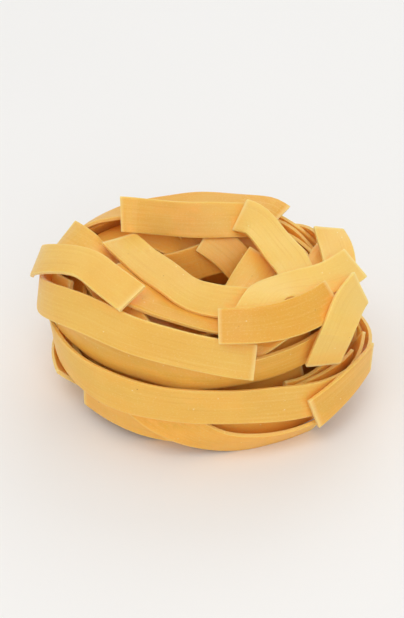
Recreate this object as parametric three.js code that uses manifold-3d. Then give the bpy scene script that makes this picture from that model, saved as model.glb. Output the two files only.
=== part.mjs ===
// A dried nest of fettuccine: flat ribbons of pasta wound round a hollow ring and laid over each other.
// Millimetres, +Z up. The nest rests on z = 0 with its hollow facing up, and its long way runs along X.
//
// Every ribbon is laid over the ones before it. A chart unrolls the surface that it lies on into a flat
// map with two coordinates, and keeps the height of the pile over each cell of the map. A ribbon is a line
// on the map: it leans on what is under it, stays stiff over the gaps, and then raises the pile.
import * as THREE from 'three';
import Module from 'manifold-3d';

const wasm = await Module();
wasm.setup();

// One ribbon
const WIDTH = 7.5;
const THICK = 0.9;
const STEP = 1.5; // spacing of the points along it
const CLEAR = 0.05; // gap left under it

// The ring that the ribbons are wound on: an ellipse seen from above, with an upright section whose
// straight sides are twice SIDE long and whose ends are half circles of radius END_R
const RING_X = 23.5;
const RING_Y = 18;
const RING_Z = 14.5;
const SIDE = 8;
const END_R = 5.5;
const DROP = 3.5; // the winding starts this far below the ring's surface

// The solid core that stands for the innermost turns: a ring with a flat foot and a round top
const CORE_OUT = 4.8; // its reach outwards from the ring's middle line
const CORE_IN = 4; // and towards the hollow
const CORE_TURNS = 40;
const CORE_ARC = 7; // points round its top
const CORE_FOOT = 2.5;
const CORE_BEVEL = 1;

// The middle of the finished nest's box, which the part is moved to stand on
const MIDDLE_X = -1.1;
const MIDDLE_Y = 1.057;

const CELL = 0.5; // of the charts
const MAP_HALF = 48; // half the width of the flat charts
const EYE_TILT = THREE.MathUtils.degToRad(38); // the front ribbons are placed as seen from this far up
const TURN_POINTS = 2001; // of the table that measures the ring's length
const SPOT_PASSES = 6; // towards the nearest point of the ring
const STIFFNESS = 60; // passes that smooth a ribbon's rise and fall
const LEAN_SPREAD = 25; // passes that smooth its sideways lean
const STEEPEST = 0.9; // lean
const PROBES = 7; // places across a ribbon that feel what is under it
const FINER = 5; // steps along a ribbon, between its points, that raise the pile
const ACROSS = 23; // places across it that raise the pile
const CURVE_STEPS = 24; // between two points set by hand
const FLARE_LENGTH = 5; // over which an end lifts
const SEED = 20;

// The winding, from the inside out. Lengths are shares of one turn.
const LAYERS = [
  { count: 6, drift: 4, bow: 2, roll: 0.06, short: 0.75, long: 0.95, flare: 0.3 },
  { count: 7, drift: 7, bow: 3, roll: 0.12, short: 0.65, long: 0.92, flare: 0.6 },
  { count: 7, drift: 12, bow: 4, roll: 0.14, short: 0.5, long: 0.88, flare: 1 },
];
const HIDDEN_LAYERS = 2; // layers that the solid core stands for

// Ribbons across the bottom of the hollow: x and y
const FLOOR = [
  [[-21, -7], [-8, -3], [8, -1], [22, -5]],
  [[-19, 8], [-6, 3], [8, 4], [20, 8]],
  [[-10, -13], [-5, -4], [4, 6], [12, 12.5]],
  [[-7, -12.5], [3, -9.5], [17, -9.5]],
  [[-17, 8], [-4, 11], [8, 12]],
];
const FLOOR_LIFT = 0.4;

// Loose lengths over the back and the ends: middle along and round the ring, heading in degrees, length
const LOOSE = [
  [20, 9, 24, 48],
  [40, 14, -18, 50],
  [52, 3, 22, 44],
  [6, 12, -30, 40],
  [28, -2, 14, 56],
  [47, -8, -8, 52],
];
const LOOSE_BEND = 0.012;
const LOOSE_ROLL = 0.1;
const LOOSE_FLARE = 2;

// The ribbons that show in front, in the order they lie. On the ring, points are along it and round its
// section. Facing the eye, they are to the right and up.
const FRONT = [
  { on: 'ring', flare: 0.2, points: [[69, 7], [80, 6], [100, 5.5], [118, 6], [127, 7.5]] },
  { on: 'ring', flare: 0.2, points: [[77, -6.5], [87, -7.5], [100, -8], [116, -7], [130, -5]] },
  { on: 'ring', flare: 0.5, points: [[87, -1], [93, -5], [98, -8.5], [106, -10], [116, -10]] },
  { on: 'ring', flare: 0.4, points: [[58, 11], [50, 15], [40, 16.5], [28, 16.5], [17, 15.5]] },
  { on: 'eye', flare: 0.3, points: [[-11, 21.5], [-5.5, 22.5], [0.5, 24.5], [7, 26]] },
  { on: 'eye', flare: 0.3, points: [[-0.5, 29], [4, 26], [8.5, 21]] },
  { on: 'eye', flare: 0.2, points: [[12, 24.5], [10, 21.5], [6.5, 16.5]] },
  { on: 'ring', flare: 0.3, points: [[59.5, 12], [64, 16], [64, 20]] },
  { on: 'ring', flare: 0.3, points: [[71.5, 17.5], [82, 17], [91.5, 16.5], [100, 15.5], [106.5, 14.5]] },
  { on: 'ring', flare: 0.6, points: [[50, 4], [58, 1], [76, -0.5], [89, 0], [106, -1.5], [116, -3.5], [134, -7]] },
  { on: 'ring', flare: 0.6, points: [[56, 3], [74, 11], [87.5, 11.5], [97.5, 10.5], [105.5, 9]] },
  { on: 'eye', flare: 0.4, points: [[-18.5, 28.5], [-13, 23.5], [-8, 20], [-3, 16.5], [3, 15], [9.5, 14.5]] },
  { on: 'ring', flare: 0.5, points: [[62, 9], [71, 15], [79.5, 15.5], [84.5, 15]] },
  { on: 'ring', flare: 0.5, points: [[5, 13], [1.5, 15.5], [-6, 17]] },
  { on: 'eye', flare: 0.3, points: [[-18, 33.5], [-11, 33], [-3.5, 32.5], [3.5, 32.5], [10, 32.5]] },
  { on: 'eye', flare: 0.4, points: [[25.5, 30.5], [27, 25.5], [27, 19]] },
  { on: 'eye', flare: 0.4, points: [[7, 33.5], [10, 32.5], [12.5, 29.5], [15, 26], [17.5, 23], [18.5, 20]] },
  { on: 'ring', flare: 0.4, points: [[104, 13], [110, 16.5], [115, 17], [122, 15], [129, 13]] },
  { on: 'ring', flare: 0.5, points: [[114, -5.5], [120.5, -2.5], [125.5, -2]] },
  { on: 'ring', flare: 0.6, points: [[100, 13.5], [108.5, 13], [120.5, 13]] },
  { on: 'eye', flare: 0.4, points: [[31, 18], [28, 14], [25.5, 8], [23.5, 2.5]] },
];

// The solids: a section wherever a ribbon has turned and twisted this far, or after so many points. Its
// underside reaches down into what it lies on, which closes the thin gaps.
const SPAN_TURN = THREE.MathUtils.degToRad(22);
const SPAN_POINTS = 6;
const SINK = 3;

const clamp = THREE.MathUtils.clamp;
const lerp = THREE.MathUtils.lerp;
const wrap = THREE.MathUtils.euclideanModulo;
const range = (n) => Array.from({ length: n }, (_, i) => i);

// A repeatable random draw
let state = SEED;
function draw(low = 0, high = 1) {
  state = (1664525 * state + 1013904223) % 4294967296;
  return low + ((high - low) * state) / 4294967296;
}

// ---- lines of numbers ----

function gradient(x) {
  const last = x.length - 1;
  return x.map((_, i) => {
    const low = Math.max(i - 1, 0);
    const high = Math.min(i + 1, last);
    return (x[high] - x[low]) / (high - low);
  });
}

function blur(x, passes) {
  let line = x;
  for (let pass = 0; pass < passes; pass++) {
    const last = line.length - 1;
    line = line.map((v, i) => {
      const before = i > 0 ? line[i - 1] : 2 * line[0] - line[1];
      const after = i < last ? line[i + 1] : 2 * line[last] - line[last - 1];
      return 0.25 * before + 0.5 * v + 0.25 * after;
    });
  }
  return line;
}

// A stiff line that stays above what it has to clear and never falls faster than 45 degrees
function restOver(need) {
  const floor = need.slice();
  for (let i = 1; i < floor.length; i++) floor[i] = Math.max(floor[i], floor[i - 1] - STEP);
  for (let i = floor.length - 2; i >= 0; i--) floor[i] = Math.max(floor[i], floor[i + 1] - STEP);
  let line = floor;
  for (let pass = 0; pass < STIFFNESS; pass++) line = blur(line, 1).map((v, i) => Math.max(v, floor[i]));
  return line;
}

// The value at a place between two entries of a line
function between(x, place) {
  const i = clamp(Math.floor(place), 0, x.length - 2);
  return lerp(x[i], x[i + 1], place - i);
}

// The place of a value in a rising line
function placeOf(x, value) {
  let low = 0;
  let high = x.length - 1;
  while (high - low > 1) {
    const mid = (low + high) >> 1;
    if (x[mid] <= value) low = mid;
    else high = mid;
  }
  return low + clamp((value - x[low]) / (x[high] - x[low]), 0, 1);
}

function runningLength(xs, ys) {
  const s = [0];
  for (let i = 1; i < xs.length; i++) s.push(s[i - 1] + Math.hypot(xs[i] - xs[i - 1], ys[i] - ys[i - 1]));
  return s;
}

const evenly = (n, low, high) => range(n).map((i) => lerp(low, high, i / (n - 1)));
const refined = (length) => evenly((length - 1) * FINER + 1, 0, length - 1);

// ---- charts ----

class Chart {
  constructor(across, around) {
    this.across = across;
    this.around = around;
    this.pile = new Float64Array(across * around);
  }

  height(a, b) {
    return this.pile[this.cell(a, b)];
  }

  raise(a, b, h) {
    const cell = this.cell(a, b);
    if (h > this.pile[cell]) this.pile[cell] = h;
  }

  // Raise the pile under a ribbon that was laid with another chart
  take(ribbon) {
    const { centre, side } = ribbon;
    const forward = tangents(centre);
    const places = refined(centre.length);
    const offsets = evenly(ACROSS, -WIDTH / 2, WIDTH / 2);
    for (const place of places) {
      const i = Math.min(Math.floor(place), centre.length - 2);
      const mid = centre[i].clone().lerp(centre[i + 1], place - i);
      const x = side[i].clone().lerp(side[i + 1], place - i).normalize();
      const up = forward[i].clone().lerp(forward[i + 1], place - i).cross(x).normalize();
      for (const face of [-THICK / 2, THICK / 2]) {
        for (const offset of offsets) {
          this.raise(...this.spot(mid.clone().addScaledVector(x, offset).addScaledVector(up, face)));
        }
      }
    }
  }
}

// The ring: a runs along it anticlockwise from +X, b round its section from the middle of the outer wall
// upwards, and h off its surface
class Ring extends Chart {
  constructor() {
    const turn = evenly(TURN_POINTS, 0, 2 * Math.PI);
    const s = runningLength(turn.map((t) => RING_X * Math.cos(t)), turn.map((t) => RING_Y * Math.sin(t)));
    const length = s[s.length - 1];
    const round = 4 * SIDE + 2 * Math.PI * END_R;
    super(Math.round(length / CELL), Math.round(round / CELL));
    Object.assign(this, { turn, s, length, round });
    this.pile.fill(-DROP);
  }

  cell(a, b) {
    const i = wrap(Math.floor((a / this.length) * this.across), this.across);
    const j = wrap(Math.floor((b / this.round) * this.around), this.around);
    return i * this.around + j;
  }

  point(a, b, h) {
    const t = between(this.turn, placeOf(this.s, wrap(a, this.length)));
    const arc = Math.PI * END_R;
    const up = wrap(b + SIDE, this.round);
    const turned = (from) => clamp((up - from) / END_R, 0, Math.PI);
    const tilt = turned(2 * SIDE) + turned(4 * SIDE + arc);
    const climb = clamp(up, 0, 2 * SIDE) - clamp(up - 2 * SIDE - arc, 0, 2 * SIDE) - SIDE;
    const r = (END_R + h) * Math.cos(tilt);
    return ringPoint(t, r, RING_Z + climb + (END_R + h) * Math.sin(tilt));
  }

  spot(p) {
    let t = Math.atan2(p.y / RING_Y, p.x / RING_X);
    for (let pass = 0; pass < SPOT_PASSES; pass++) {
      const c = Math.cos(t);
      const s = Math.sin(t);
      const miss = (RING_X * c - p.x) * -RING_X * s + (RING_Y * s - p.y) * RING_Y * c;
      t -= miss / (RING_X ** 2 * s * s + RING_Y ** 2 * c * c);
    }
    const out = ringNormal(t);
    const r = (p.x - RING_X * Math.cos(t)) * out.x + (p.y - RING_Y * Math.sin(t)) * out.y;
    const z = p.z - RING_Z;
    const rise = z - clamp(z, -SIDE, SIDE);
    const tilt = Math.atan2(rise, r);
    let b = r > 0 ? z : 2 * SIDE + Math.PI * END_R - z;
    if (rise !== 0) b = Math.sign(rise) * SIDE + END_R * tilt;
    const place = (wrap(t, 2 * Math.PI) / (2 * Math.PI)) * (this.turn.length - 1);
    return [between(this.s, place), b, Math.hypot(r, rise) - END_R];
  }
}

// A flat map: a runs to the right, b up, and h towards an eye at some height over the table
class FlatMap extends Chart {
  constructor(tilt) {
    const cells = Math.round((2 * MAP_HALF) / CELL);
    super(cells, cells);
    const s = Math.sin(tilt);
    const c = Math.cos(tilt);
    this.eye = new THREE.Vector3(0, -c, s);
    this.up = new THREE.Vector3(0, s, c);
    for (let cell = 0; cell < this.pile.length; cell++) {
      const b = ((cell % cells) + 0.5) * CELL - MAP_HALF;
      this.pile[cell] = (-b * c) / s;
    }
  }

  cell(a, b) {
    const i = clamp(Math.floor((a + MAP_HALF) / CELL), 0, this.across - 1);
    const j = clamp(Math.floor((b + MAP_HALF) / CELL), 0, this.around - 1);
    return i * this.around + j;
  }

  point(a, b, h) {
    return new THREE.Vector3(a, 0, 0).addScaledVector(this.up, b).addScaledVector(this.eye, h);
  }

  spot(p) {
    return [p.x, p.dot(this.up), p.dot(this.eye)];
  }
}

function ringNormal(t) {
  return new THREE.Vector3(Math.cos(t) / RING_X, Math.sin(t) / RING_Y, 0).normalize();
}

function ringPoint(t, r, z) {
  return new THREE.Vector3(RING_X * Math.cos(t), RING_Y * Math.sin(t), z).addScaledVector(ringNormal(t), r);
}

// ---- laying one ribbon ----

function drape(chart, line, roll = null, lift = null) {
  const { a, b } = line;
  const n = a.length;
  const ta = gradient(a);
  const tb = gradient(b);
  const size = ta.map((v, i) => Math.hypot(v, tb[i]));
  const ca = tb.map((v, i) => -v / size[i]);
  const cb = ta.map((v, i) => v / size[i]);

  // the heights under it, and the lean of the line that rests on the highest two
  const offsets = evenly(PROBES, -WIDTH / 2, WIDTH / 2);
  const under = range(n).map((i) => offsets.map((o) => chart.height(a[i] + ca[i] * o, b[i] + cb[i] * o)));
  let lean = blur(under.map((g) => leanOver(g, offsets)), LEAN_SPREAD);
  if (roll) lean = lean.map((v, i) => v + roll[i]);
  const need = under.map((g, i) => Math.max(...g.map((v, k) => v - lean[i] * offsets[k])));
  const height = restOver(need).map((v, i) => v + CLEAR + (lift ? lift[i] : 0));
  const shrink = lean.map((v) => 1 / Math.sqrt(1 + v * v));

  const centre = [];
  const side = [];
  for (let i = 0; i < n; i++) {
    const half = (WIDTH / 2) * shrink[i];
    const mid = height[i] + THICK / 2 / shrink[i];
    const spot = (reach) => chart.point(a[i] + ca[i] * reach, b[i] + cb[i] * reach, mid + lean[i] * reach);
    const [left, middle, right] = [spot(-half), spot(0), spot(half)];
    for (const p of [left, right, middle]) p.z = Math.max(p.z, THICK / 2);
    centre.push(middle);
    side.push(right.sub(left).normalize());
  }

  // the pile rises to its upper face
  const lines = [a, b, ca, cb, height, lean, shrink];
  for (const place of refined(n)) {
    const [x, y, dx, dy, lying, slope, narrow] = lines.map((v) => between(v, place));
    for (const offset of evenly(ACROSS, -WIDTH / 2, WIDTH / 2)) {
      const reach = narrow * offset;
      chart.raise(x + dx * reach, y + dy * reach, lying + THICK / narrow + slope * reach);
    }
  }
  return { centre, side };
}

function leanOver(g, offsets) {
  const centre = (PROBES - 1) / 2;
  let best = g[centre];
  let lean = 0;
  for (let i = 0; i < centre; i++) {
    for (let j = centre + 1; j < g.length; j++) {
      const run = offsets[j] - offsets[i];
      const mid = (g[i] * offsets[j] - g[j] * offsets[i]) / run;
      if (mid > best) lean = (g[j] - g[i]) / run;
      best = Math.max(best, mid);
    }
  }
  return clamp(lean, -STEEPEST, STEEPEST);
}

// ---- the lines that ribbons follow ----

// A smooth line through points set by hand
function through(points) {
  const [p0, p1] = points;
  const [q1, q0] = points.slice(-2);
  const p = [[2 * p0[0] - p1[0], 2 * p0[1] - p1[1]], ...points, [2 * q0[0] - q1[0], 2 * q0[1] - q1[1]]];
  const xs = [];
  const ys = [];
  for (let i = 1; i < p.length - 2; i++) {
    for (let k = 0; k < CURVE_STEPS; k++) {
      xs.push(catmullRom(...[-1, 0, 1, 2].map((j) => p[i + j][0]), k / CURVE_STEPS));
      ys.push(catmullRom(...[-1, 0, 1, 2].map((j) => p[i + j][1]), k / CURVE_STEPS));
    }
  }
  xs.push(q0[0]);
  ys.push(q0[1]);
  const s = runningLength(xs, ys);
  const whole = s[s.length - 1];
  const places = evenly(Math.max(3, Math.round(whole / STEP) + 1), 0, whole).map((v) => placeOf(s, v));
  return { a: places.map((v) => between(xs, v)), b: places.map((v) => between(ys, v)) };
}

function catmullRom(a, b, c, d, t) {
  const square = 2 * a - 5 * b + 4 * c - d;
  const cube = 3 * b - a - 3 * c + d;
  return 0.5 * (2 * b + (c - a) * t + square * t * t + cube * t ** 3);
}

function wave(n, size) {
  const waves = draw(1.2, 2.8);
  const start = draw();
  return range(n).map((i) => size * Math.sin(2 * Math.PI * ((waves * i) / (n - 1) + start)));
}

// Ends that stand off a little
function flare(n, size) {
  const first = draw(0, size);
  const last = draw(0, size);
  const whole = (n - 1) * STEP;
  const fade = (s) => Math.exp(-s / FLARE_LENGTH);
  return range(n).map((i) => first * fade(i * STEP) + last * fade(whole - i * STEP));
}

// One length wound most of the way round the ring
function wound(ring, layer, k) {
  const n = Math.round((ring.length * draw(layer.short, layer.long)) / STEP) + 1;
  const start = draw(0, ring.length);
  const level = (ring.round * (k + draw(-0.3, 0.3))) / layer.count;
  const drift = draw(-1, 1) * layer.drift;
  const bow = wave(n, layer.bow);
  return {
    a: range(n).map((i) => start + i * STEP),
    b: range(n).map((i) => level + drift * (i / (n - 1) - 0.5) + bow[i]),
  };
}

// One loose length, evenly bent
function loose(a0, b0, heading, length) {
  const bend = draw(-LOOSE_BEND, LOOSE_BEND);
  const n = Math.round(length / STEP) + 1;
  const a = [];
  const b = [];
  let x = 0;
  let y = 0;
  for (let i = 0; i < n; i++) {
    const turn = THREE.MathUtils.degToRad(heading) + bend * (i - (n - 1) / 2) * STEP;
    x += Math.cos(turn) * STEP;
    y += Math.sin(turn) * STEP;
    a.push(x);
    b.push(y);
  }
  const middle = n >> 1;
  return { a: a.map((v) => a0 + v - a[middle]), b: b.map((v) => b0 + v - b[middle]) };
}

// ---- the whole pile ----

function layRibbons() {
  const ring = new Ring();
  const table = new FlatMap(Math.PI / 2);
  const eye = new FlatMap(EYE_TILT);
  const ribbons = [];
  for (const points of FLOOR) {
    const line = through(points);
    ribbons.push({ ...drape(table, line, null, line.a.map(() => FLOOR_LIFT)), hidden: false });
  }
  LAYERS.forEach((layer, depth) => {
    for (let k = 0; k < layer.count; k++) {
      const line = wound(ring, layer, k);
      const roll = wave(line.a.length, layer.roll);
      const lift = flare(line.a.length, layer.flare);
      ribbons.push({ ...drape(ring, line, roll, lift), hidden: depth < HIDDEN_LAYERS });
    }
  });
  for (const where of LOOSE) {
    const line = loose(...where);
    const roll = wave(line.a.length, LOOSE_ROLL);
    const lift = flare(line.a.length, LOOSE_FLARE);
    ribbons.push({ ...drape(ring, line, roll, lift), hidden: false });
  }
  for (const ribbon of ribbons) eye.take(ribbon);
  for (const { on, flare: size, points } of FRONT) {
    const [mine, other] = on === 'ring' ? [ring, eye] : [eye, ring];
    const line = through(points);
    const ribbon = drape(mine, line, null, flare(line.a.length, size));
    other.take(ribbon);
    ribbons.push({ ...ribbon, hidden: false });
  }
  return ribbons;
}

// ---- solids ----

function tangents(points) {
  const last = points.length - 1;
  return points.map((_, i) => {
    const from = points[Math.max(i - 1, 0)];
    return points[Math.min(i + 1, last)].clone().sub(from).normalize();
  });
}

// A solid from sections joined in a row: closed into a ring, or with a face at each end
function loft(sections, closed) {
  const sides = sections[0].length;
  const rows = sections.length;
  const faces = [];
  for (let i = 0; i < (closed ? rows : rows - 1); i++) {
    for (let k = 0; k < sides; k++) {
      const here = i * sides;
      const there = ((i + 1) % rows) * sides;
      const next = (k + 1) % sides;
      faces.push(here + k, here + next, there + next, here + k, there + next, there + k);
    }
  }
  if (!closed) {
    const end = (rows - 1) * sides;
    for (let k = 1; k < sides - 1; k++) faces.push(0, k + 1, k, end, end + k, end + k + 1);
  }
  return new wasm.Manifold(new wasm.Mesh({
    numProp: 3,
    vertProperties: new Float32Array(sections.flat().flatMap((p) => p.toArray())),
    triVerts: new Uint32Array(faces),
  }));
}

// The points of a ribbon that get a section
function stations({ centre, side }) {
  const forward = tangents(centre);
  const last = centre.length - 1;
  const chosen = [0];
  for (let i = 1; i < last; i++) {
    const from = chosen[chosen.length - 1];
    const turned = forward[i].angleTo(forward[from]) + side[i].angleTo(side[from]);
    if (turned > SPAN_TURN || i - from === SPAN_POINTS) chosen.push(i);
  }
  return [...chosen, last];
}

// One ribbon as a bar of four sides, sunk into what it lies on
function bar(ribbon) {
  const chosen = stations(ribbon);
  const middles = chosen.map((i) => ribbon.centre[i]);
  const forward = tangents(middles);
  const sections = middles.map((middle, k) => {
    const side = ribbon.side[chosen[k]];
    const across = side.clone().addScaledVector(forward[k], -side.dot(forward[k])).normalize();
    const up = forward[k].clone().cross(across);
    const corner = (u, v) => {
      const p = middle.clone().addScaledVector(across, u).addScaledVector(up, v);
      p.z = Math.max(p.z, 0);
      return p;
    };
    const right = WIDTH / 2;
    const high = THICK / 2;
    const low = -THICK / 2 - SINK;
    return [corner(right, high), corner(-right, high), corner(-right, low), corner(right, low)];
  });
  return loft(sections, false);
}

// The innermost turns as one ring with a flat foot on the table
function core() {
  const top = RING_Z + SIDE;
  const profile = [[CORE_BEVEL - CORE_IN, 0], [CORE_OUT - CORE_BEVEL, 0], [CORE_OUT, CORE_FOOT]];
  for (const tilt of evenly(CORE_ARC, 0, Math.PI)) {
    const reach = tilt < Math.PI / 2 ? CORE_OUT : CORE_IN;
    profile.push([reach * Math.cos(tilt), top + CORE_OUT * Math.sin(tilt)]);
  }
  profile.push([-CORE_IN, CORE_FOOT]);
  const turns = range(CORE_TURNS).map((i) => (2 * Math.PI * i) / CORE_TURNS);
  return loft(turns.map((t) => profile.map(([out, z]) => ringPoint(t, out, z)).reverse()), true);
}

function largest(solid) {
  return solid.decompose().reduce((best, piece) => (piece.volume() > best.volume() ? piece : best));
}

function toGeometry(solid) {
  const { numProp, vertProperties, triVerts } = solid.getMesh();
  const geometry = new THREE.BufferGeometry();
  geometry.setAttribute('position', new THREE.BufferAttribute(vertProperties.slice(), numProp));
  geometry.setIndex(new THREE.BufferAttribute(triVerts.slice(), 1));
  return geometry;
}

function pastaNest() {
  let solid = core();
  for (const ribbon of layRibbons()) {
    if (!ribbon.hidden) solid = solid.add(bar(ribbon));
  }
  const material = new THREE.MeshStandardMaterial({ color: 0xecbb63, roughness: 0.55, metalness: 0 });
  const mesh = new THREE.Mesh(toGeometry(largest(solid)), material);
  mesh.name = 'pasta_nest';
  mesh.position.set(-MIDDLE_X, -MIDDLE_Y, 0);
  return mesh;
}

const nest = new THREE.Group();
nest.add(pastaNest());

export default nest;
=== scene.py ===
"""A dried nest of fettuccine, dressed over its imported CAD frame.

The CAD node is a solid ring with coarse bars for the ribbons that show. Here the same ribbons are laid
again by the same rule and from the same values, this time all of them, thin, cupped and cut at the ends,
and they replace the node. The rule works in millimetres, and the meshes are in metres.
"""
import math
import bpy
import numpy as np
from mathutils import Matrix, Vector
from mathutils.bvhtree import BVHTree


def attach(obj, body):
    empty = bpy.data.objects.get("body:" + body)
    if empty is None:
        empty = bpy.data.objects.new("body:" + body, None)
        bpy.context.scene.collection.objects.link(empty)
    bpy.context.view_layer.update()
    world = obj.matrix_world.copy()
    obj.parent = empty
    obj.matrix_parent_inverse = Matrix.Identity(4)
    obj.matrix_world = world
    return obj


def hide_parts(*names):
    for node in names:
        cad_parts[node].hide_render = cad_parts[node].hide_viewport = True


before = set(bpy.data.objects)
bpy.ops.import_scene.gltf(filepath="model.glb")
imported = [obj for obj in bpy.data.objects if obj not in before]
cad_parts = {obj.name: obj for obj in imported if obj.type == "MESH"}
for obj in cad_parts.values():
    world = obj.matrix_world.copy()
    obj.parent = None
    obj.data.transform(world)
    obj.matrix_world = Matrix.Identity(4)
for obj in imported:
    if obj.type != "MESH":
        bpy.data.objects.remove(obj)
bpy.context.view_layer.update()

MM = 0.001

# ---- the ribbons: the same values as the CAD ----

WIDTH = 7.5
THICK = 0.9
STEP = 1.5                # spacing of the points along a ribbon
CLEAR = 0.05              # gap left under it
RING_X = 23.5             # the ring that they are wound on, seen from above
RING_Y = 18.0
RING_Z = 14.5
SIDE = 8.0                # half the straight side of its section
END_R = 5.5               # and the radius of the section's ends
DROP = 3.5                # the winding starts this far below the ring's surface
MIDDLE = (-1.1, 1.057)    # the middle of the nest's box, which is moved to the origin
CELL = 0.5                # of the charts
MAP_HALF = 48.0           # half the width of the flat charts
EYE_TILT = math.radians(38)
TURN_POINTS = 2001        # of the table that measures the ring's length
SPOT_PASSES = 6           # towards the nearest point of the ring
STIFFNESS = 60            # passes that smooth a ribbon's rise and fall
LEAN_SPREAD = 25          # passes that smooth its sideways lean
STEEPEST = 0.9            # lean
PROBES = 7                # places across a ribbon that feel what is under it
FINER = 5                 # steps along a ribbon, between its points, that raise the pile
ACROSS = 23               # places across it that raise the pile
CURVE_STEPS = 24          # between two of a course's points
FLARE_LENGTH = 5.0        # over which an end lifts
WAVES = (1.2, 2.8)        # fewest and most waves along a ribbon, in its course and its roll
JITTER = 0.3              # most that a wound length is out of its place, as a share of their spacing
SEED = 20

LAYERS = (
    dict(count=6, drift=4.0, bow=2.0, roll=0.06, short=0.75, long=0.95, flare=0.3),
    dict(count=7, drift=7.0, bow=3.0, roll=0.12, short=0.65, long=0.92, flare=0.6),
    dict(count=7, drift=12.0, bow=4.0, roll=0.14, short=0.50, long=0.88, flare=1.0),
)

# Across the bottom of the hollow: x and y
FLOOR = (
    ((-21, -7), (-8, -3), (8, -1), (22, -5)),
    ((-19, 8), (-6, 3), (8, 4), (20, 8)),
    ((-10, -13), (-5, -4), (4, 6), (12, 12.5)),
    ((-7, -12.5), (3, -9.5), (17, -9.5)),
    ((-17, 8), (-4, 11), (8, 12)),
)
FLOOR_LIFT = 0.4

# Loose lengths over the back and the ends: middle along and round the ring, heading in degrees, length
LOOSE = (
    (20, 9, 24, 48),
    (40, 14, -18, 50),
    (52, 3, 22, 44),
    (6, 12, -30, 40),
    (28, -2, 14, 56),
    (47, -8, -8, 52),
)
LOOSE_BEND = 0.012
LOOSE_ROLL = 0.1
LOOSE_FLARE = 2.0

# The ribbons that show in front, in the order they lie: chart, how far their ends stand off, points.
# The places were read off the photograph. For 53 of the 92 points, a helper program turned them into places
# on the charts; the others were set or changed by hand.
FRONT = (
    ("ring", 0.2, ((69, 7), (80, 6), (100, 5.5), (118, 6), (127, 7.5))),
    ("ring", 0.2, ((77, -6.5), (87, -7.5), (100, -8), (116, -7), (130, -5))),
    ("ring", 0.5, ((87, -1), (93, -5), (98, -8.5), (106, -10), (116, -10))),
    ("ring", 0.4, ((58, 11), (50, 15), (40, 16.5), (28, 16.5), (17, 15.5))),
    ("eye", 0.3, ((-11, 21.5), (-5.5, 22.5), (0.5, 24.5), (7, 26))),
    ("eye", 0.3, ((-0.5, 29), (4, 26), (8.5, 21))),
    ("eye", 0.2, ((12, 24.5), (10, 21.5), (6.5, 16.5))),
    ("ring", 0.3, ((59.5, 12), (64, 16), (64, 20))),
    ("ring", 0.3, ((71.5, 17.5), (82, 17), (91.5, 16.5), (100, 15.5), (106.5, 14.5))),
    ("ring", 0.6, ((50, 4), (58, 1), (76, -0.5), (89, 0), (106, -1.5), (116, -3.5), (134, -7))),
    ("ring", 0.6, ((56, 3), (74, 11), (87.5, 11.5), (97.5, 10.5), (105.5, 9))),
    ("eye", 0.4, ((-18.5, 28.5), (-13, 23.5), (-8, 20), (-3, 16.5), (3, 15), (9.5, 14.5))),
    ("ring", 0.5, ((62, 9), (71, 15), (79.5, 15.5), (84.5, 15))),
    ("ring", 0.5, ((5, 13), (1.5, 15.5), (-6, 17))),
    ("eye", 0.3, ((-18, 33.5), (-11, 33), (-3.5, 32.5), (3.5, 32.5), (10, 32.5))),
    ("eye", 0.4, ((25.5, 30.5), (27, 25.5), (27, 19))),
    ("eye", 0.4, ((7, 33.5), (10, 32.5), (12.5, 29.5), (15, 26), (17.5, 23), (18.5, 20))),
    ("ring", 0.4, ((104, 13), (110, 16.5), (115, 17), (122, 15), (129, 13))),
    ("ring", 0.5, ((114, -5.5), (120.5, -2.5), (125.5, -2))),
    ("ring", 0.6, ((100, 13.5), (108.5, 13), (120.5, 13))),
    ("eye", 0.4, ((31, 18), (28, 14), (25.5, 8), (23.5, 2.5))),
)

# How pale each of them is, from 0 to 1: partly each ribbon's own tone, partly painted light, set by how lit
# each one looks; one in the hollow is made paler as painted light
FRONT_TONES_AND_PAINTED_LIGHT = (0.2, 0.1, 0.0, 0.15, 0.2, 0.8, 0.5, 0.4, 0.1, 0.45, 0.5, 0.6, 0.6, 0.5, 0.5, 0.7, 0.95, 0.95,
               0.3, 0.1, 0.9)

# ---- the dressed ribbon ----

FINE_STEP = 1.1
SMOOTHING = 4                                # passes over its middle line
SPREAD = (1.0, 0.965, 0.88, 0.6, 0.3, 0.0)   # places of the section's points, from edge to middle
TAPER = 0.25                                 # share of the thickness lost right at the edge
TAPER_START = 0.88                           # place across where that begins
CUP = 0.22                                   # most that the middle stands off the edges
CUP_LENGTH = (25, 60)                        # shortest and longest wave of it along the ribbon
RIPPLE = 0.10                                # waviness of the edges
RIPPLE_LENGTH = (9, 16)
ODD_WIDTH = 0.03                             # most that a ribbon is too wide or narrow, as a share
UNEVEN = 0.02                                # most that its width varies along it, as a share
UNEVEN_LENGTH = (20, 40)
SKEW = 0.5                                   # most that a cut end is out of square
SKEW_FADE = 3                                # length over which that fades
PALE_CUT = 0.25                              # length of the pale rim at a cut end, partly chalky dough and partly painted highlight
FLOW_GAP = 40                                # sets each ribbon's pattern apart from the next one's

# How far a ribbon bends down where it would run into a later one
PRESS_REACH = 1.6                            # how far a point looks for a ribbon that it is inside
PRESS_FADE = 0.8                             # share of a bend that reaches the next point along and across
PRESS_PASSES = 6                             # points that it reaches
NUDGE = 0.01                                 # step past a face, before the next one is looked for

# How open each point lies, from which the material paints shade between the ribbons
DOME = 24                                    # directions that look out from it
GRAZING = 0.2                                # cosine to its normal below which a direction is left out
REACH = 0.030                                # how far they look, in metres
LIFT_OFF = 0.0001                            # and where they start


class Draws:
    """A repeatable random draw."""

    def __init__(self, seed):
        self.state = seed

    def __call__(self, low=0.0, high=1.0):
        self.state = (1664525 * self.state + 1013904223) % 4294967296
        return low + (high - low) * self.state / 4294967296


# ---- lines of numbers ----

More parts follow.
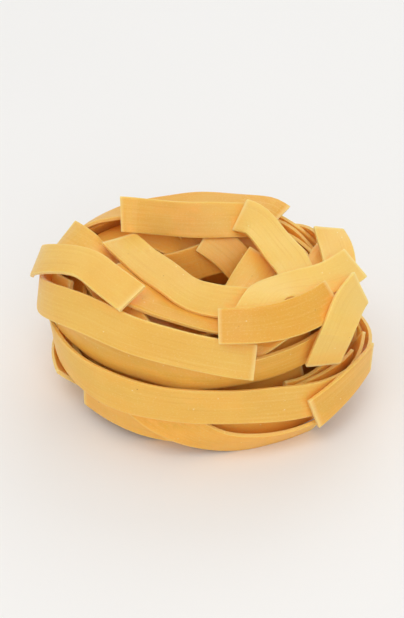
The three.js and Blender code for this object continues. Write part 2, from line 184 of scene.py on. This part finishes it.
def blur(x, passes):
    for _ in range(passes):
        p = np.concatenate([[2 * x[0] - x[1]], x, [2 * x[-1] - x[-2]]])
        x = 0.25 * p[:-2] + 0.5 * p[1:-1] + 0.25 * p[2:]
    return x


def rest_over(need):
    """A stiff line that stays above what it has to clear and never falls faster than 45 degrees."""
    floor = need.copy()
    for i in range(1, len(floor)):
        floor[i] = max(floor[i], floor[i - 1] - STEP)
    for i in range(len(floor) - 2, -1, -1):
        floor[i] = max(floor[i], floor[i + 1] - STEP)
    line = floor
    for _ in range(STIFFNESS):
        line = np.maximum(floor, blur(line, 1))
    return line


def resampled(v, count):
    """The same line with another number of evenly spaced entries."""
    places = np.linspace(0, len(v) - 1, count)
    if v.ndim == 1:
        return np.interp(places, np.arange(len(v)), v)
    return np.stack([np.interp(places, np.arange(len(v)), column) for column in v.T], 1)


def finer(v):
    return resampled(v, (len(v) - 1) * FINER + 1)


def unit(v):
    return v / np.linalg.norm(v, axis=-1, keepdims=True)


# ---- charts: flat maps of what a ribbon lies on, with the height of the pile over each cell ----

class Chart:
    def height(self, a, b):
        return self.pile[self.cell(a, b)]

    def raise_to(self, a, b, h):
        np.maximum.at(self.pile, self.cell(a, b), h)

    def take(self, ribbon):
        """Raise the pile under a ribbon that was laid with another chart."""
        centre, side = (finer(v) for v in ribbon)
        side = unit(side)
        up = unit(np.cross(np.gradient(centre, axis=0), side))
        across = np.linspace(-0.5, 0.5, ACROSS) * WIDTH
        for face in (-THICK / 2, THICK / 2):
            points = centre[:, None] + side[:, None] * across[None, :, None] + face * up[:, None]
            self.raise_to(*self.spot(points))


class Ring(Chart):
    """a runs along the ring anticlockwise from +X, b round its section from the middle of the outer wall
    upwards, and h off its surface."""

    def __init__(self):
        self.turn = np.linspace(0, 2 * math.pi, TURN_POINTS)
        x, y = RING_X * np.cos(self.turn), RING_Y * np.sin(self.turn)
        self.s = np.concatenate([[0], np.cumsum(np.hypot(np.diff(x), np.diff(y)))])
        self.length = self.s[-1]
        self.round = 4 * SIDE + 2 * math.pi * END_R
        self.pile = np.full((round(self.length / CELL), round(self.round / CELL)), -DROP)

    def cell(self, a, b):
        across, around = self.pile.shape
        i = np.floor(a / self.length * across).astype(int) % across
        j = np.floor(b / self.round * around).astype(int) % around
        return i, j

    def point(self, a, b, h):
        t = np.interp(np.mod(a, self.length), self.s, self.turn)
        out = unit(np.stack([np.cos(t) / RING_X, np.sin(t) / RING_Y], -1))
        arc = math.pi * END_R
        up = np.mod(b + SIDE, self.round)
        tilt = np.clip((up - 2 * SIDE) / END_R, 0, math.pi)
        tilt = tilt + np.clip((up - 4 * SIDE - arc) / END_R, 0, math.pi)
        climb = np.clip(up, 0, 2 * SIDE) - np.clip(up - 2 * SIDE - arc, 0, 2 * SIDE) - SIDE
        r = (END_R + h) * np.cos(tilt)
        x = RING_X * np.cos(t) + out[..., 0] * r
        y = RING_Y * np.sin(t) + out[..., 1] * r
        return np.stack([x, y, RING_Z + climb + (END_R + h) * np.sin(tilt)], -1)

    def spot(self, p):
        x, y, z = p[..., 0], p[..., 1], p[..., 2] - RING_Z
        t = np.arctan2(y / RING_Y, x / RING_X)
        for _ in range(SPOT_PASSES):
            c, s = np.cos(t), np.sin(t)
            miss = (RING_X * c - x) * -RING_X * s + (RING_Y * s - y) * RING_Y * c
            t = t - miss / (RING_X ** 2 * s * s + RING_Y ** 2 * c * c)
        out = unit(np.stack([np.cos(t) / RING_X, np.sin(t) / RING_Y], -1))
        r = (x - RING_X * np.cos(t)) * out[..., 0] + (y - RING_Y * np.sin(t)) * out[..., 1]
        rise = z - np.clip(z, -SIDE, SIDE)
        straight = np.where(r > 0, z, 2 * SIDE + math.pi * END_R - z)
        b = np.where(rise == 0, straight, np.sign(rise) * SIDE + END_R * np.arctan2(rise, r))
        a = np.interp(np.mod(t, 2 * math.pi), self.turn, self.s)
        return a, b, np.hypot(r, rise) - END_R


class FlatMap(Chart):
    """a runs to the right, b up, and h towards an eye at some height over the table."""

    def __init__(self, tilt):
        s, c = math.sin(tilt), math.cos(tilt)
        self.axes = np.array([[1, 0, 0], [0, s, c], [0, -c, s]])
        cells = round(2 * MAP_HALF / CELL)
        middle = (np.arange(cells) + 0.5) * CELL - MAP_HALF
        self.pile = np.tile(-middle * c / s, (cells, 1))

    def cell(self, a, b):
        last = len(self.pile) - 1
        i = np.clip(np.floor((a + MAP_HALF) / CELL).astype(int), 0, last)
        j = np.clip(np.floor((b + MAP_HALF) / CELL).astype(int), 0, last)
        return i, j

    def point(self, a, b, h):
        return np.stack([a, b, h], -1) @ self.axes

    def spot(self, p):
        return p @ self.axes[0], p @ self.axes[1], p @ self.axes[2]


# ---- laying one ribbon ----

def lean_over(g, offsets):
    """The slope of the line that rests on the highest places on either side of the middle."""
    centre = len(offsets) // 2
    best, lean = g[:, centre].copy(), np.zeros(len(g))
    for i in range(centre):
        for j in range(centre + 1, len(offsets)):
            run = offsets[j] - offsets[i]
            middle = (g[:, i] * offsets[j] - g[:, j] * offsets[i]) / run
            lean = np.where(middle > best, (g[:, j] - g[:, i]) / run, lean)
            best = np.maximum(best, middle)
    return np.clip(lean, -STEEPEST, STEEPEST)


def drape(chart, line, roll=0.0, lift=0.0):
    """Lay a ribbon along a line on a chart: the points along its middle, and its direction across."""
    a, b = line
    along_a, along_b = np.gradient(a), np.gradient(b)
    size = np.hypot(along_a, along_b)
    ca, cb = -along_b / size, along_a / size
    offsets = np.linspace(-0.5, 0.5, PROBES) * WIDTH
    under = chart.height(a[:, None] + ca[:, None] * offsets, b[:, None] + cb[:, None] * offsets)
    lean = blur(lean_over(under, offsets), LEAN_SPREAD) + roll
    height = rest_over((under - lean[:, None] * offsets).max(1)) + CLEAR + lift
    shrink = 1 / np.sqrt(1 + lean ** 2)

    half = WIDTH / 2 * shrink
    middle = height + THICK / 2 / shrink
    left = chart.point(a - ca * half, b - cb * half, middle - lean * half)
    right = chart.point(a + ca * half, b + cb * half, middle + lean * half)
    centre = chart.point(a, b, middle)
    for points in (left, right, centre):
        points[:, 2] = np.maximum(points[:, 2], THICK / 2)

    # the pile rises to its upper face
    fa, fb, fca, fcb, fs, fh, fl = (finer(v) for v in (a, b, ca, cb, shrink, height, lean))
    reach = fs[:, None] * np.linspace(-0.5, 0.5, ACROSS) * WIDTH
    top = (fh + THICK / fs)[:, None] + fl[:, None] * reach
    chart.raise_to(fa[:, None] + fca[:, None] * reach, fb[:, None] + fcb[:, None] * reach, top)
    return centre, unit(right - left)


# ---- the lines that ribbons follow ----

def through(points):
    """A smooth line through a course's points."""
    p = np.array(points, float)
    p = np.concatenate([[2 * p[0] - p[1]], p, [2 * p[-1] - p[-2]]])
    t = (np.arange(CURVE_STEPS) / CURVE_STEPS)[:, None]
    curve = []
    for a, b, c, d in zip(p, p[1:], p[2:], p[3:]):
        square, cube = 2 * a - 5 * b + 4 * c - d, 3 * b - a - 3 * c + d
        curve.append(0.5 * (2 * b + (c - a) * t + square * t ** 2 + cube * t ** 3))
    curve = np.concatenate(curve + [p[-2:-1]])
    s = np.concatenate([[0], np.cumsum(np.hypot(*np.diff(curve, axis=0).T))])
    places = np.linspace(0, s[-1], max(3, round(s[-1] / STEP) + 1))
    return np.interp(places, s, curve[:, 0]), np.interp(places, s, curve[:, 1])


def wave(count, draw, size):
    waves, start = draw(*WAVES), draw()
    return size * np.sin(2 * math.pi * (waves * np.linspace(0, 1, count) + start))


def flare(count, draw, size):
    """Ends that stand off a little."""
    s = np.arange(count) * STEP
    first, last = draw(0, size), draw(0, size)
    return first * np.exp(-s / FLARE_LENGTH) + last * np.exp((s - s[-1]) / FLARE_LENGTH)


def wound(ring, draw, layer, k):
    """One length wound most of the way round the ring."""
    count = round(ring.length * draw(layer["short"], layer["long"]) / STEP) + 1
    start = draw(0, ring.length)
    level = ring.round * (k + draw(-JITTER, JITTER)) / layer["count"]
    drift = draw(-1, 1) * layer["drift"]
    bow = wave(count, draw, layer["bow"])
    return start + np.arange(count) * STEP, level + drift * (np.linspace(0, 1, count) - 0.5) + bow


def loose(draw, a0, b0, heading, length):
    """One loose length, evenly bent."""
    bend = draw(-LOOSE_BEND, LOOSE_BEND)
    count = round(length / STEP) + 1
    turn = math.radians(heading) + bend * (np.arange(count) - (count - 1) / 2) * STEP
    a, b = np.cumsum(np.cos(turn)) * STEP, np.cumsum(np.sin(turn)) * STEP
    return a0 + a - a[count // 2], b0 + b - b[count // 2]


def lay_ribbons():
    draw = Draws(SEED)
    ring, table, eye = Ring(), FlatMap(math.pi / 2), FlatMap(EYE_TILT)
    ribbons = [drape(table, through(points), 0, FLOOR_LIFT) for points in FLOOR]
    for layer in LAYERS:
        for k in range(layer["count"]):
            line = wound(ring, draw, layer, k)
            roll = wave(len(line[0]), draw, layer["roll"])
            ribbons.append(drape(ring, line, roll, flare(len(line[0]), draw, layer["flare"])))
    for where in LOOSE:
        line = loose(draw, *where)
        roll = wave(len(line[0]), draw, LOOSE_ROLL)
        ribbons.append(drape(ring, line, roll, flare(len(line[0]), draw, LOOSE_FLARE)))
    for ribbon in ribbons:
        eye.take(ribbon)
    for chart, size, points in FRONT:
        mine, other = (ring, eye) if chart == "ring" else (eye, ring)
        line = through(points)
        ribbons.append(drape(mine, line, 0, flare(len(line[0]), draw, size)))
        other.take(ribbons[-1])
    return ribbons


# ---- the mesh of one ribbon ----

def section():
    """Places across the ribbon and half thicknesses, for the upper face from one edge to the other."""
    across = np.array(SPREAD + tuple(-v for v in reversed(SPREAD[:-1])))
    edge = np.clip((np.abs(across) - TAPER_START) / (1 - TAPER_START), 0, 1)
    return across, THICK / 2 * (1 - TAPER * edge ** 2)


def along(s, draw, lengths):
    """A wave along a ribbon, with its length and start drawn."""
    return np.sin(2 * math.pi * (s / draw(*lengths) + draw()))


def ribbon_mesh(ribbon, number, tone, draw):
    """Points, faces and surface values of one ribbon, with its cut ends."""
    length = (len(ribbon[0]) - 1) * STEP
    count = round(length / FINE_STEP) + 1
    centre, side = (resampled(v, count) for v in ribbon)
    centre = np.stack([blur(column, SMOOTHING) for column in centre.T], 1)
    forward = unit(np.gradient(centre, axis=0))
    side = unit(side - (side * forward).sum(1)[:, None] * forward)
    up = np.cross(forward, side)

    s = np.linspace(0, length, count)
    across, half = section()
    cup = CUP * draw(-1, 1) * along(s, draw, CUP_LENGTH)
    ripple = RIPPLE * along(s, draw, RIPPLE_LENGTH)
    reach = WIDTH / 2 * (1 + UNEVEN * along(s, draw, UNEVEN_LENGTH) + draw(-ODD_WIDTH, ODD_WIDTH))
    skew = draw(-SKEW, SKEW) * np.exp(-s / SKEW_FADE) + draw(-SKEW, SKEW) * np.exp((s - length) / SKEW_FADE)

    # both faces, from edge to edge and back; a third is the mean square of u, so a cup lifts nothing
    rows = []
    for face in (1, -1):
        u = across if face == 1 else across[::-1]
        h = half if face == 1 else half[::-1]
        off = face * h[None] + cup[:, None] * (1 / 3 - u[None] ** 2) + ripple[:, None] * u[None] ** 3
        rows.append(
            centre[:, None]
            + side[:, None] * (reach[:, None] * u[None])[..., None]
            + forward[:, None] * (skew[:, None] * u[None])[..., None]
            + up[:, None] * off[..., None]
        )
    points = np.concatenate(rows, 1)
    points[..., 2] = np.maximum(points[..., 2], 0)

    sides = points.shape[1]
    here = (np.arange(count - 1)[:, None] * sides + np.arange(sides)).ravel()
    ahead = (np.arange(count - 1)[:, None] * sides + (np.arange(sides) + 1) % sides).ravel()
    faces = np.stack([here, ahead, ahead + sides, here + sides], 1)
    k = np.arange(sides // 2 - 1)
    first = np.stack([k + 1, k, sides - 1 - k, sides - 2 - k], 1)
    last = first[:, ::-1] + (count - 1) * sides

    u = np.concatenate([across, across[::-1]])
    flow = np.stack(np.broadcast_arrays(s[:, None], (WIDTH / 2 * u)[None], FLOW_GAP * number), -1)
    to_end = np.minimum(s, length - s)
    values = dict(
        flow=flow.reshape(-1, 3),
        up=np.repeat(up, sides, axis=0),
        owner=np.full(count * sides, number),
        tone=np.full(count * sides, tone),
        edge=np.broadcast_to(np.abs(u), (count, sides)).ravel(),
        cut=np.broadcast_to(np.clip(1 - to_end / PALE_CUT, 0, 1)[:, None], (count, sides)).ravel(),
    )
    return points.reshape(-1, 3), faces, np.concatenate([first, last]), values


def way_out(tree, ribbon_of, start, ray, wanted):
    """How far along a ray it leaves one of the wanted ribbons, and which ribbon that is."""
    gone = NUDGE
    while gone < PRESS_REACH:
        _, normal, face, step = tree.ray_cast(start + gone * ray, ray, PRESS_REACH - gone)
        if face is None:
            break
        gone += step + NUDGE
        if normal.dot(ray) > 0 and ribbon_of[face] in wanted:
            return gone, ribbon_of[face]
    return None, None


def eased(drop, owner):
    """Let each bend fade along and across its ribbon, alike on both faces."""
    sides = 2 * len(section()[0])
    for ribbon in range(owner[-1] + 1):
        mine = owner == ribbon
        upper, lower = np.split(drop[mine].reshape(-1, sides), 2, axis=1)
        both = np.maximum(upper, lower[:, ::-1])
        for _ in range(PRESS_PASSES):
            near = np.pad(both, 1, mode="edge") * PRESS_FADE
            along_it = np.maximum(near[:-2, 1:-1], near[2:, 1:-1])
            across_it = np.maximum(near[1:-1, :-2], near[1:-1, 2:])
            both = np.maximum.reduce([both, along_it, across_it])
        drop[mine] = np.concatenate([both, both[:, ::-1]], 1).ravel()
    return drop


def press(points, faces, up, owner):
    """Bend each ribbon down where it would run into a later one that lies over it."""
    tree = BVHTree.FromPolygons(points.tolist(), faces.tolist())
    ribbon_of = owner[faces[:, 0]].tolist()
    ribbons = range(owner[-1] + 1)
    drop = np.zeros(len(points))
    for i, (place, out) in enumerate(zip(points, up)):
        place, out = Vector(place), Vector(out)
        _, over = way_out(tree, ribbon_of, place, out, ribbons[owner[i] + 1:])
        if over is None:
            continue
        depth, _ = way_out(tree, ribbon_of, place, -out, [over])
        if depth is not None:
            drop[i] = depth + CLEAR
    return points - eased(drop, owner)[:, None] * up


def outlook(mesh):
    """How open each point lies: the share of short rays that leave it and meet no ribbon or table."""
    points = [vertex.co.copy() for vertex in mesh.vertices]
    tree = BVHTree.FromPolygons(points, [face.vertices[:] for face in mesh.polygons])
    normals = np.empty(3 * len(points))
    mesh.vertices.foreach_get("normal", normals)
    normals = normals.reshape(-1, 3)
    turn = np.arange(DOME) * math.pi * (3 - math.sqrt(5))
    z = 1 - (2 * np.arange(DOME) + 1) / DOME
    dome = np.stack([np.cos(turn) * np.sqrt(1 - z * z), np.sin(turn) * np.sqrt(1 - z * z), z], 1)
    rays = [Vector(ray) for ray in dome]
    share = np.empty(len(points))
    for i, (point, normal, facing) in enumerate(zip(points, normals, normals @ dome.T)):
        start = point + LIFT_OFF * Vector(normal)
        tried = [ray for ray, cosine in zip(rays, facing) if cosine > GRAZING]
        clear = [ray for ray in tried if start.z + REACH * ray.z > 0]
        share[i] = sum(tree.ray_cast(start, ray, REACH)[0] is None for ray in clear) / len(tried)
    return share


def build_nest(ribbons):
    """All the ribbons as one mesh."""
    draw = Draws(SEED + 1)
    points, faces, flat, values = [], [], [], []
    base = 0
    tones = [draw() for _ in ribbons[:-len(FRONT)]] + list(FRONT_TONES_AND_PAINTED_LIGHT)
    for number, (ribbon, tone) in enumerate(zip(ribbons, tones)):
        p, f, ends, v = ribbon_mesh(ribbon, number, tone, draw)
        points.append(p)
        faces += [f + base, ends + base]
        flat += [np.zeros(len(f), bool), np.ones(len(ends), bool)]
        values.append(v)
        base += len(p)
    faces = np.concatenate(faces)
    values = {name: np.concatenate([v[name] for v in values]) for name in values[0]}
    points = press(np.concatenate(points), faces, values["up"], values["owner"])
    points[:, 2] = np.maximum(points[:, 2], 0)
    points = (points - np.array([*MIDDLE, 0])) * MM

    mesh = bpy.data.meshes.new("fettuccine_ribbons")
    mesh.from_pydata(points.tolist(), [], faces.tolist())
    mesh.attributes.new("sharp_face", "BOOLEAN", "FACE").data.foreach_set("value", np.concatenate(flat))
    flow = mesh.attributes.new("flow", "FLOAT_VECTOR", "POINT")
    flow.data.foreach_set("vector", values["flow"].astype(np.float32).ravel())
    # openness, which the material turns into painted shade
    values["open"] = outlook(mesh)
    for name in ("tone", "edge", "cut", "open"):
        data = values[name].astype(np.float32)
        mesh.attributes.new(name, "FLOAT", "POINT").data.foreach_set("value", data)
    piece = bpy.data.objects.new("fettuccine_ribbons", mesh)
    bpy.context.scene.collection.objects.link(piece)
    return piece


# ---- materials ----

CLOUD_SCALE = 0.16                          # per mm
GRAIN_SCALE = 3.0
STREAK_SCALE = (0.06, 2.2, 1.0)             # along the ribbon, across it and from one ribbon to the next

DEEP_DOUGH = (0.780, 0.400, 0.040, 1)
PALE_DOUGH = (0.885, 0.605, 0.152, 1)
WARM_PAINTED_SHADE = (1.000, 0.500, 0.085, 1)      # painted shade: warm orange between the ribbons, standing in for light that has passed through others
PALE_STREAK = (0.900, 0.660, 0.210, 1)
DARK_STREAK = (0.690, 0.340, 0.045, 1)
PALE_GRAIN = (0.920, 0.710, 0.280, 1)
# painted highlight along the long edges
PAINTED_EDGE_HIGHLIGHT = (0.930, 0.720, 0.290, 1)
# partly chalky dough, partly painted highlight
CHALKY_CUT_AND_HIGHLIGHT = (0.930, 0.750, 0.360, 1)

# Flecks of flour and bran: cells per mm, size as a share of a cell, share of cells without one, colour
FLECKS = (
    (0.85, 0.15, 0.88, (0.97, 0.84, 0.52, 1)),
    (0.60, 0.11, 0.90, (0.45, 0.17, 0.03, 1)),
)
FLECK_CORE = 0.4                            # share of a fleck's size that has its full colour
FLECK_STRENGTH = 0.6


class Nodes:
    """Short calls for the nodes of one material."""

    def __init__(self, name):
        self.material = bpy.data.materials.new(name)
        self.material.use_nodes = True
        self.tree = self.material.node_tree
        self.shader = self.tree.nodes["Principled BSDF"]

    def add(self, kind, settings=None, **inputs):
        node = self.tree.nodes.new(kind)
        for key, value in (settings or {}).items():
            setattr(node, key, value)
        for key, value in inputs.items():
            self.set(node.inputs[key.replace("_", " ")], value)
        return node

    def set(self, socket, value):
        if isinstance(value, bpy.types.NodeSocket):
            self.tree.links.new(value, socket)
        else:
            socket.default_value = value

    def attribute(self, name, output="Fac"):
        return self.add("ShaderNodeAttribute", dict(attribute_name=name)).outputs[output]

    def math(self, operation, a, b):
        node = self.add("ShaderNodeMath", dict(operation=operation))
        self.set(node.inputs[0], a)
        self.set(node.inputs[1], b)
        return node.outputs[0]

    def remap(self, value, low, high, to_low=0.0, to_high=1.0):
        node = self.add("ShaderNodeMapRange", dict(interpolation_type="SMOOTHSTEP"))
        for socket, v in zip(node.inputs, (value, low, high, to_low, to_high)):
            self.set(socket, v)
        return node.outputs[0]

    def stretch(self, vector, scale):
        node = self.add("ShaderNodeVectorMath", dict(operation="MULTIPLY"))
        self.set(node.inputs[0], vector)
        self.set(node.inputs[1], scale)
        return node.outputs[0]

    def noise(self, vector, scale, detail=2.0, roughness=0.5):
        node = self.add("ShaderNodeTexNoise", Vector=vector, Scale=scale, Detail=detail, Roughness=roughness)
        return node.outputs["Fac"]

    def mix(self, factor, a, b):
        node = self.add("ShaderNodeMix", dict(data_type="RGBA"))
        for name, value in (("Factor_Float", factor), ("A_Color", a), ("B_Color", b)):
            self.set(next(s for s in node.inputs if s.identifier == name), value)
        return next(s for s in node.outputs if s.identifier == "Result_Color")


def pasta_material():
    """Dried semolina dough: golden, waxy and a little see-through, streaked along the ribbon."""
    n = Nodes("dried_semolina")
    flow = n.attribute("flow", "Vector")
    tone = n.attribute("tone")
    edge = n.attribute("edge")
    cut = n.attribute("cut")
    # painted shade: the less open a point lies, the more warm orange it gets
    painted_shade = n.remap(n.attribute("open"), 0.95, 0.35)

    clouds = n.noise(flow, CLOUD_SCALE, 3)
    streaks = n.noise(n.stretch(flow, STREAK_SCALE), 1.0, 4, 0.6)
    grain = n.noise(flow, GRAIN_SCALE, 3, 0.6)

    # paleness from the ribbon's tone, for the front ribbons partly painted light, and soft clouds
    pale = n.math("ADD", n.math("MULTIPLY", tone, 0.75), n.math("MULTIPLY", clouds, 0.40))
    colour = n.mix(n.remap(pale, 0.10, 1.05), DEEP_DOUGH, PALE_DOUGH)
    # the painted shade between the ribbons
    colour = n.mix(n.math("MULTIPLY", painted_shade, 0.90), colour, WARM_PAINTED_SHADE)
    colour = n.mix(n.remap(streaks, 0.50, 0.75, 0, 0.30), colour, PALE_STREAK)
    colour = n.mix(n.remap(streaks, 0.48, 0.25, 0, 0.28), colour, DARK_STREAK)
    colour = n.mix(n.remap(grain, 0.52, 0.72, 0, 0.30), colour, PALE_GRAIN)
    # painted highlight: a pale line along each long edge, where light catches it
    colour = n.mix(n.remap(edge, 0.93, 1.0, 0, 0.35), colour, PAINTED_EDGE_HIGHLIGHT)
    # a pale rim at each cut end: partly chalky dough, partly a painted highlight where light catches the cut
    colour = n.mix(n.remap(cut, 0.2, 1.0, 0, 0.5), colour, CHALKY_CUT_AND_HIGHLIGHT)
    for scale, reach, share, fleck in FLECKS:
        cells = n.add("ShaderNodeTexVoronoi", Vector=flow, Scale=scale)
        near = n.remap(cells.outputs["Distance"], reach, reach * FLECK_CORE)
        pick = n.add("ShaderNodeSeparateColor", Color=cells.outputs["Color"]).outputs[0]
        chosen = n.math("MULTIPLY", near, n.math("GREATER_THAN", pick, share))
        colour = n.mix(n.math("MULTIPLY", chosen, FLECK_STRENGTH), colour, fleck)

    relief = n.math("ADD", n.math("MULTIPLY", streaks, 0.5), n.math("MULTIPLY", grain, 0.35))
    bump = n.add("ShaderNodeBump", Strength=0.35, Distance=0.00012, Height=relief)
    n.set(n.shader.inputs["Base Color"], colour)
    n.set(n.shader.inputs["Roughness"], n.remap(n.math("ADD", grain, cut), 0.3, 1.3, 0.40, 0.62))
    n.set(n.shader.inputs["Normal"], bump.outputs["Normal"])
    n.shader.inputs["Subsurface Weight"].default_value = 0.7
    n.shader.inputs["Subsurface Radius"].default_value = (1.0, 0.82, 0.50)
    n.shader.inputs["Subsurface Scale"].default_value = 0.0011
    n.shader.inputs["Specular IOR Level"].default_value = 0.42
    return n.material


def floor_material():
    """A pale matt tabletop with the faintest unevenness."""
    n = Nodes("pale_tabletop")
    place = n.add("ShaderNodeTexCoord").outputs["Object"]
    cloud = n.noise(place, 6.0, 3)
    n.set(n.shader.inputs["Base Color"], n.mix(cloud, (0.86, 0.855, 0.845, 1), (0.90, 0.895, 0.885, 1)))
    n.shader.inputs["Roughness"].default_value = 0.7
    return n.material


# ---- stage, lights and camera ----

FLOOR_HALF = 1.6
LOOK_AT = Vector((0, 0, 0.0165))
VIEW_WIDTH = 0.086          # what the frame's width takes in at the nest
LENS = 100.0
SENSOR = 36.0
FRAME_SHAPE = 404 / 618     # width over height of the photograph


def build_floor():
    mesh = bpy.data.meshes.new("tabletop")
    h = FLOOR_HALF
    mesh.from_pydata([(-h, -h, 0), (h, -h, 0), (h, h, 0), (-h, h, 0)], [], [(0, 1, 2, 3)])
    floor = bpy.data.objects.new("tabletop", mesh)
    bpy.context.scene.collection.objects.link(floor)
    mesh.materials.append(floor_material())


def softbox(name, place, size, power, colour=(1, 1, 1)):
    light = bpy.data.lights.new(name, "AREA")
    light.size = size
    light.energy = power
    light.color = colour
    lamp = bpy.data.objects.new(name, light)
    lamp.location = place
    lamp.rotation_euler = (LOOK_AT - Vector(place)).to_track_quat("-Z", "Y").to_euler()
    bpy.context.scene.collection.objects.link(lamp)


def light_stage():
    softbox("key", (-0.12, -0.27, 0.68), size=0.35, power=0.84, colour=(1.0, 0.98, 0.95))
    softbox("fill", (0.12, -0.62, 0.52), size=0.40, power=0.88)
    softbox("back", (0.15, 0.60, 0.50), size=0.50, power=0.85)
    world = bpy.data.worlds.new("studio")
    world.use_nodes = True
    world.node_tree.nodes["Background"].inputs["Color"].default_value = (1.0, 0.995, 0.985, 1)
    world.node_tree.nodes["Background"].inputs["Strength"].default_value = 0.75
    bpy.context.scene.world = world
    bpy.context.scene.view_settings.view_transform = "Standard"


def aim_camera():
    camera = bpy.data.cameras.new("camera")
    camera.lens = LENS
    camera.sensor_width = SENSOR
    back = Vector((0, -math.cos(EYE_TILT), math.sin(EYE_TILT)))
    eye = bpy.data.objects.new("camera", camera)
    # the sensor's width lies along the frame's longer side, its height
    eye.location = LOOK_AT + back * VIEW_WIDTH * LENS / (SENSOR * FRAME_SHAPE)
    eye.rotation_euler = (-back).to_track_quat("-Z", "Y").to_euler()
    bpy.context.scene.collection.objects.link(eye)
    bpy.context.scene.camera = eye


nest = build_nest(lay_ribbons())
nest.data.materials.append(pasta_material())
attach(nest, "root")
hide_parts("pasta_nest")
build_floor()
light_stage()
aim_camera()
